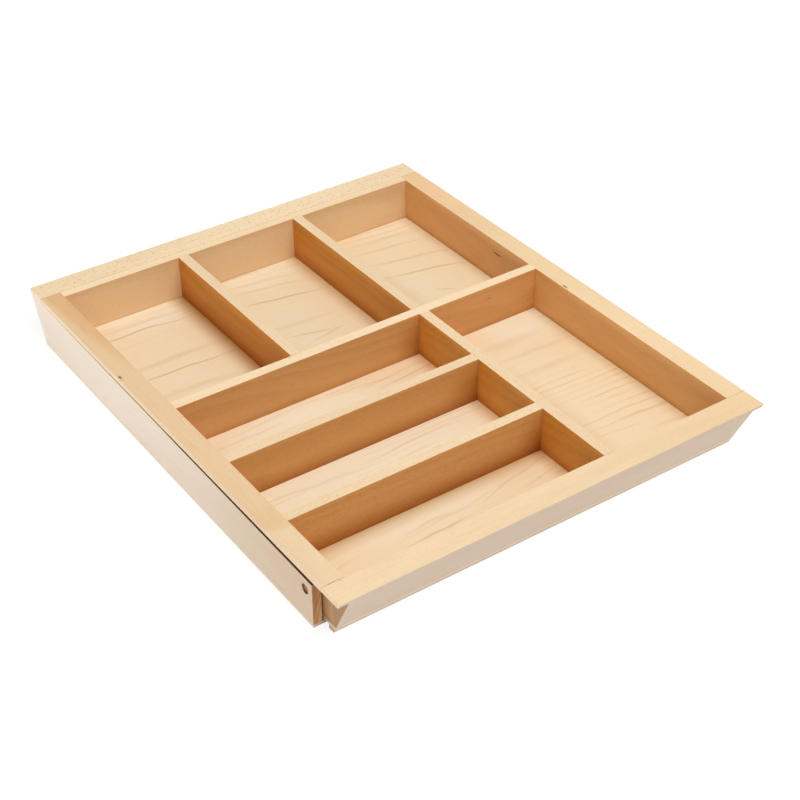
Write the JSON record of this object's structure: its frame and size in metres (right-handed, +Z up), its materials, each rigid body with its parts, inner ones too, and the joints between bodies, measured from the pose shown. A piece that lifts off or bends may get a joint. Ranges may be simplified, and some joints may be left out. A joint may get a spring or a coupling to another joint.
{
  "type": "extendable cutlery tray",
  "caption": "Shallow beech drawer tray with compartments for cutlery, bevelled front and back rails, and a back frame that slides out to fill a wider drawer.",
  "frame": {"origin": "middle of the closed tray's footprint, on the surface that it stands on", "axes": "+X to the right along the bevelled front rail, +Y from the front rail to the sliding back rail, +Z up"},
  "size_m": [0.473, 0.5856, 0.057],
  "materials": {
    "beech_board": "sanded solid beech with a thin clear lacquer",
    "beech_plywood": "rotary-cut beech face veneer, satin lacquer",
    "beech_dowel": "bare beech, end grain showing"
  },
  "bodies": {
    "tray": {"front_rail": "beech_board", "left_side_rail": "beech_board", "right_side_rail": "beech_board", "back_wall": "beech_board", "row_divider": "beech_board", "long_divider_front": "beech_board", "long_divider_back": "beech_board", "front_cross_divider": "beech_board", "back_divider_left": "beech_board", "back_divider_right": "beech_board", "tray_floor": "beech_plywood", "front_batten": "beech_board", "frame_dowels": "beech_dowel"},
    "extension": {"back_rail": "beech_board", "left_arm": "beech_board", "right_arm": "beech_board", "extension_floor": "beech_plywood", "stop_dowel_left": "beech_dowel", "stop_dowel_right": "beech_dowel", "arm_dowels": "beech_dowel"}
  },
  "joints": [
    {"name": "extension_slide", "type": "slide", "parent": "tray", "child": "extension", "axis": [0, 1, 0], "range_m": [0, 0.24]}
  ]
}
